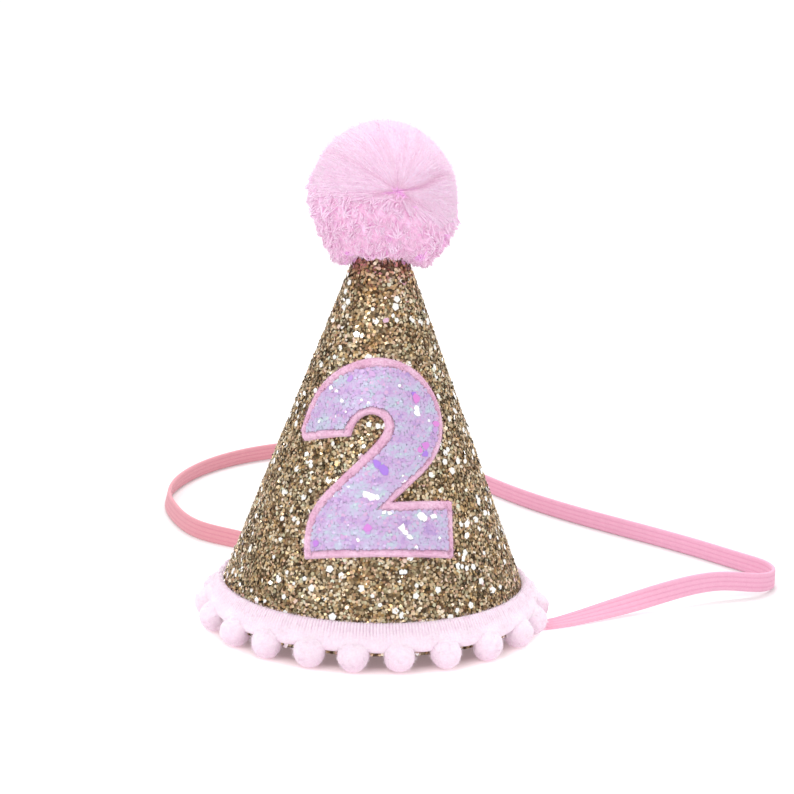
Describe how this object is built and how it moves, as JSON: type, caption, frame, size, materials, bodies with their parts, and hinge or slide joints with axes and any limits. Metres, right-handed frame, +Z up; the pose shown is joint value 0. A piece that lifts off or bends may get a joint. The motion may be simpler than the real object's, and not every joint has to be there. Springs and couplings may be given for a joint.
{
  "type": "party hat",
  "caption": "Small glitter cone party hat with a felt number on the front, a pompom fringe round the rim, a nodding yarn pompom on the tip and a flat elastic band.",
  "frame": {"origin": "on the table, under the middle of the hat without its band", "axes": "+Z up along the hat's axis to the pompom, front with the number towards -Y, the wearer's left towards +X"},
  "size_m": [0.2006, 0.2475, 0.1459],
  "materials": {
    "glitter_sheet": "gold glitter on felt",
    "liner_felt": "matt felt",
    "number_felt": "matt felt",
    "number_glitter": "iridescent glitter on felt",
    "fringe_braid": "soft woven braid",
    "fringe_pompom": "fuzzy",
    "top_pompom": "fuzzy yarn",
    "tie_yarn": "matt yarn",
    "elastic": "ribbed soft elastic",
    "patch_felt": "matt felt"
  },
  "bodies": {
    "hat": {"glitter_cone": "glitter_sheet", "cone_liner": "liner_felt", "number_felt_backing": "number_felt", "number_glitter_face": "number_glitter", "trim_braid": "fringe_braid", "trim_pompom_01": "fringe_pompom", "trim_pompom_02": "fringe_pompom", "trim_pompom_03": "fringe_pompom", "trim_pompom_04": "fringe_pompom", "trim_pompom_05": "fringe_pompom", "trim_pompom_06": "fringe_pompom", "trim_pompom_07": "fringe_pompom", "trim_pompom_08": "fringe_pompom", "trim_pompom_09": "fringe_pompom", "trim_pompom_10": "fringe_pompom", "trim_pompom_11": "fringe_pompom", "trim_pompom_12": "fringe_pompom", "trim_pompom_13": "fringe_pompom", "trim_pompom_14": "fringe_pompom", "trim_pompom_15": "fringe_pompom", "trim_pompom_16": "fringe_pompom", "trim_pompom_17": "fringe_pompom", "trim_pompom_18": "fringe_pompom", "trim_pompom_19": "fringe_pompom", "trim_pompom_20": "fringe_pompom", "trim_pompom_21": "fringe_pompom", "trim_pompom_22": "fringe_pompom", "tie_tail": "tie_yarn", "tip_anchor": "liner_felt", "elastic_strap": "elastic", "strap_end_right": "elastic", "strap_patch_right": "patch_felt", "strap_end_left": "elastic", "strap_patch_left": "patch_felt"},
    "tie": {"tie_knot": "tie_yarn"},
    "pompom": {"yarn_pompom": "top_pompom", "pompom_tie": "tie_yarn"}
  },
  "joints": [
    {"name": "pompom_nod", "type": "hinge", "parent": "hat", "child": "tie", "pos_m": [0, 0, 0.1055], "axis": [1, 0, 0], "range_deg": [-10, 10], "stiffness_Nm_per_rad": 0.02},
    {"name": "pompom_sway", "type": "hinge", "parent": "tie", "child": "pompom", "pos_m": [0, 0, 0.1055], "axis": [0, 1, 0], "range_deg": [-10, 10], "stiffness_Nm_per_rad": 0.02}
  ]
}
